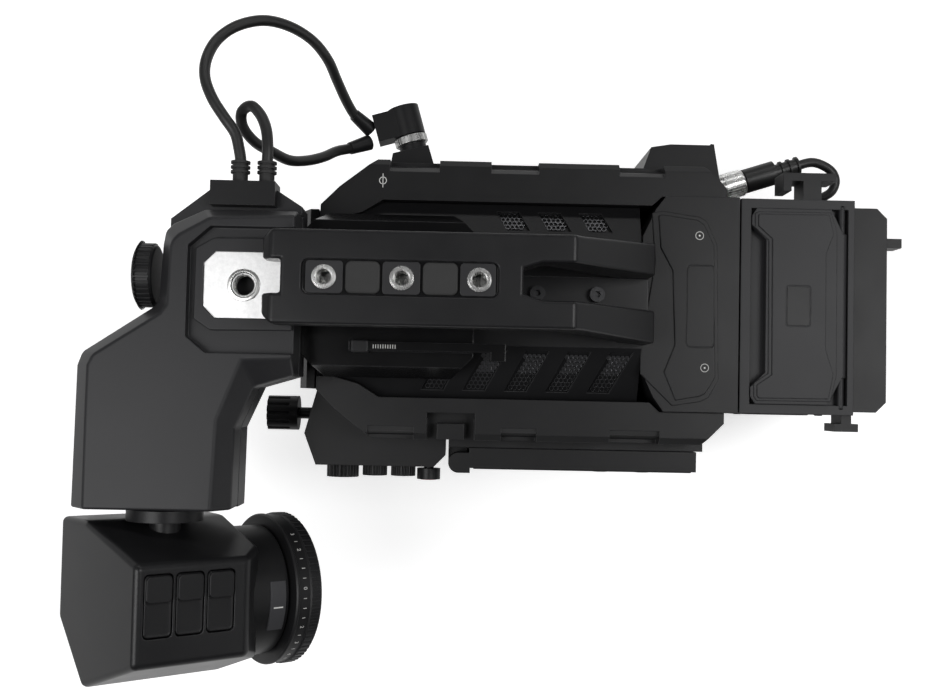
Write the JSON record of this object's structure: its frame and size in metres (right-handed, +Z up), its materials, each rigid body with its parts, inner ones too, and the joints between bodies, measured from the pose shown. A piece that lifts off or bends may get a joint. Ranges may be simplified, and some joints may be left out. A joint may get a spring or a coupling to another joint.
{
  "type": "digital cinema camera",
  "caption": "Black digital cinema camera with a top handle, a side-mounted viewfinder on an arm, a rear recorder and a battery plate.",
  "frame": {"origin": "mouth of the tripod socket, on the underside of the body's centre plane", "axes": "+X to the rear of the camera, +Y to the camera's right side, +Z up; the lens looks along -X"},
  "size_m": [0.3949, 0.3089, 0.2143],
  "materials": {
    "casing_black": "fine-textured satin black coat",
    "handle_black": "smooth satin black coat",
    "trim_black": "satin black plastic",
    "knob_black": "knurled black",
    "bright_metal": "bright satin",
    "bare_aluminium": "bare satin",
    "screw_steel": "black oxide",
    "gear_brass": "satin",
    "pad_rubber": "matte",
    "cord_rubber": "satin",
    "board_green": "satin",
    "sensor_dark": "glossy",
    "lens_glass": "coated",
    "record_red": "satin"
  },
  "bodies": {
    "camera_body": {"bottom_casing": "casing_black", "main_casing": "casing_black", "front_fascia": "casing_black", "lens_mount_ring": "bright_metal", "socket_screws": "screw_steel", "sensor_block": "sensor_dark", "main_circuit_board": "board_green", "heat_sink": "bare_aluminium", "top_casing": "casing_black", "right_rail_cover": "casing_black", "left_rail_cover": "casing_black", "rear_top_panel": "casing_black", "handle": "handle_black", "handle_inserts": "bright_metal", "handle_pads": "pad_rubber", "handle_bracket": "casing_black", "evf_mount_plate": "bright_metal", "arm_top_cover": "handle_black", "arm_bottom_shell": "handle_black", "cable_gland": "trim_black", "cable_boots": "pad_rubber", "evf_cable_a": "cord_rubber", "evf_cable_b": "cord_rubber", "evf_socket_block": "trim_black", "evf_plug": "trim_black", "side_control_panel": "casing_black", "xlr_block": "casing_black", "bnc_socket": "bright_metal", "bnc_plug": "cord_rubber", "sdi_cable": "cord_rubber", "recorder_housing": "casing_black", "cable_cleats": "trim_black", "battery_plate": "trim_black", "ssd_drive": "bare_aluminium", "lcd_hinge_bracket": "trim_black"},
    "evf_head": {"evf_hinge_shaft": "bare_aluminium", "evf_housing": "casing_black", "eyepiece_lens": "lens_glass"},
    "focus_ring": {"diopter_ring": "knob_black"},
    "rocker_front": {"evf_rocker_front": "trim_black"},
    "rocker_middle": {"evf_rocker_middle": "trim_black"},
    "rocker_rear": {"evf_rocker_rear": "trim_black"},
    "lock_knob": {"evf_lock_knob": "knob_black"},
    "filter_knob": {"nd_knob": "knob_black"},
    "filter_idler": {"nd_idler_gear": "gear_brass"},
    "filter_wheel": {"nd_filter_wheel": "bare_aluminium"},
    "lens_release": {"lens_release_button": "bright_metal"},
    "side_screen": {"lcd_panel": "casing_black"},
    "record_key": {"record_button": "record_red"},
    "dial": {"front_dial": "knob_black"},
    "audio_front": {"audio_knob_front": "knob_black"},
    "audio_rear": {"audio_knob_rear": "knob_black"},
    "screen_key_front": {"lcd_button_front": "trim_black"},
    "screen_key_rear": {"lcd_button_rear": "trim_black"},
    "fan": {"fan_rotor": "trim_black"},
    "lid": {"recorder_lid": "casing_black"},
    "battery_catch": {"battery_release": "trim_black"},
    "plug_ring": {"plug_lock_ring": "bright_metal"},
    "latch": {"xlr_latch": "trim_black"},
    "bnc_ring": {"bnc_lock_ring": "bright_metal"}
  },
  "joints": [
    {"name": "evf_tilt", "type": "hinge", "parent": "camera_body", "child": "evf_head", "pos_m": [-0.139, -0.138, 0.17], "axis": [0, 1, 0], "range_deg": [-37, 53]},
    {"name": "focus_turn", "type": "hinge", "parent": "evf_head", "child": "focus_ring", "pos_m": [-0.09508, -0.138, 0.1369], "axis": [0.7986, 0, -0.6018], "range_deg": [-60, 60]},
    {"name": "rocker_front_tip", "type": "hinge", "parent": "evf_head", "child": "rocker_front", "pos_m": [-0.13368, -0.135, 0.20531], "axis": [0.7986, 0, -0.6018], "range_deg": [-4, 4], "stiffness_Nm_per_rad": 0.02},
    {"name": "rocker_middle_tip", "type": "hinge", "parent": "evf_head", "child": "rocker_middle", "pos_m": [-0.1225, -0.135, 0.19688], "axis": [0.7986, 0, -0.6018], "range_deg": [-4, 4], "stiffness_Nm_per_rad": 0.02},
    {"name": "rocker_rear_tip", "type": "hinge", "parent": "evf_head", "child": "rocker_rear", "pos_m": [-0.11132, -0.135, 0.18846], "axis": [0.7986, 0, -0.6018], "range_deg": [-4, 4], "stiffness_Nm_per_rad": 0.02},
    {"name": "lock_turn", "type": "hinge", "parent": "camera_body", "child": "lock_knob", "pos_m": [-0.15054, 0.00502, 0.1665], "axis": [1, 0, 0], "range_deg": [-90, 180]},
    {"name": "filter_turn", "type": "hinge", "parent": "camera_body", "child": "filter_knob", "pos_m": [-0.062, -0.057, 0.07], "axis": [1, 0, 0], "range_deg": [0, 270]},
    {"name": "filter_idler_turn", "type": "hinge", "parent": "camera_body", "child": "filter_idler", "pos_m": [-0.062, -0.03615, 0.06155], "axis": [1, 0, 0], "range_deg": [-160, 10]},
    {"name": "filter_wheel_turn", "type": "hinge", "parent": "camera_body", "child": "filter_wheel", "pos_m": [-0.062, -0.0153, 0.0531], "axis": [1, 0, 0], "range_deg": [-10, 280]},
    {"name": "lens_release_press", "type": "slide", "parent": "camera_body", "child": "lens_release", "axis": [1, 0, 0], "range_m": [0, 0.0015], "stiffness_N_per_m": 200},
    {"name": "screen_swing", "type": "hinge", "parent": "camera_body", "child": "side_screen", "pos_m": [-0.009, -0.0794, 0.075], "axis": [0, 0, -1], "range_deg": [0, 90]},
    {"name": "record_press", "type": "slide", "parent": "camera_body", "child": "record_key", "axis": [0, 1, 0], "range_m": [0, 0.001], "stiffness_N_per_m": 200},
    {"name": "dial_turn", "type": "hinge", "parent": "camera_body", "child": "dial", "pos_m": [-0.0689, -0.082, 0.078], "axis": [0, 1, 0], "continuous": true},
    {"name": "audio_front_turn", "type": "hinge", "parent": "camera_body", "child": "audio_front", "pos_m": [-0.0522, -0.082, 0.078], "axis": [0, 1, 0], "range_deg": [0, 270]},
    {"name": "audio_rear_turn", "type": "hinge", "parent": "camera_body", "child": "audio_rear", "pos_m": [-0.0374, -0.082, 0.078], "axis": [0, 1, 0], "range_deg": [0, 270]},
    {"name": "screen_key_front_press", "type": "slide", "parent": "side_screen", "child": "screen_key_front", "axis": [0, 1, 0], "range_m": [0, 0.001], "stiffness_N_per_m": 200},
    {"name": "screen_key_rear_press", "type": "slide", "parent": "side_screen", "child": "screen_key_rear", "axis": [0, 1, 0], "range_m": [0, 0.001], "stiffness_N_per_m": 200},
    {"name": "fan_spin", "type": "hinge", "parent": "camera_body", "child": "fan", "pos_m": [0.04, 0.032, 0.062], "axis": [0, 1, 0], "continuous": true},
    {"name": "lid_open", "type": "hinge", "parent": "camera_body", "child": "lid", "pos_m": [0.1736, 0, 0.1325], "axis": [0, 1, 0], "range_deg": [0, 95]},
    {"name": "battery_catch_press", "type": "slide", "parent": "camera_body", "child": "battery_catch", "axis": [0, 0, -1], "range_m": [0, 0.006], "stiffness_N_per_m": 200},
    {"name": "plug_ring_turn", "type": "hinge", "parent": "camera_body", "child": "plug_ring", "pos_m": [-0.036, 0.083, 0.088], "axis": [-0.2756, 0.9613, 0], "range_deg": [0, 90]},
    {"name": "latch_press", "type": "slide", "parent": "camera_body", "child": "latch", "axis": [1, 0, 0], "range_m": [0, 0.0015], "stiffness_N_per_m": 200},
    {"name": "bnc_ring_turn", "type": "hinge", "parent": "camera_body", "child": "bnc_ring", "pos_m": [0.121, 0.0646, 0.075], "axis": [0.9511, 0.309, 0], "range_deg": [0, 90]}
  ],
  "couplings": [
    {"joint": "filter_idler_turn", "follows": "filter_turn", "ratio": -0.55172},
    {"joint": "filter_wheel_turn", "follows": "filter_turn", "ratio": 1}
  ]
}
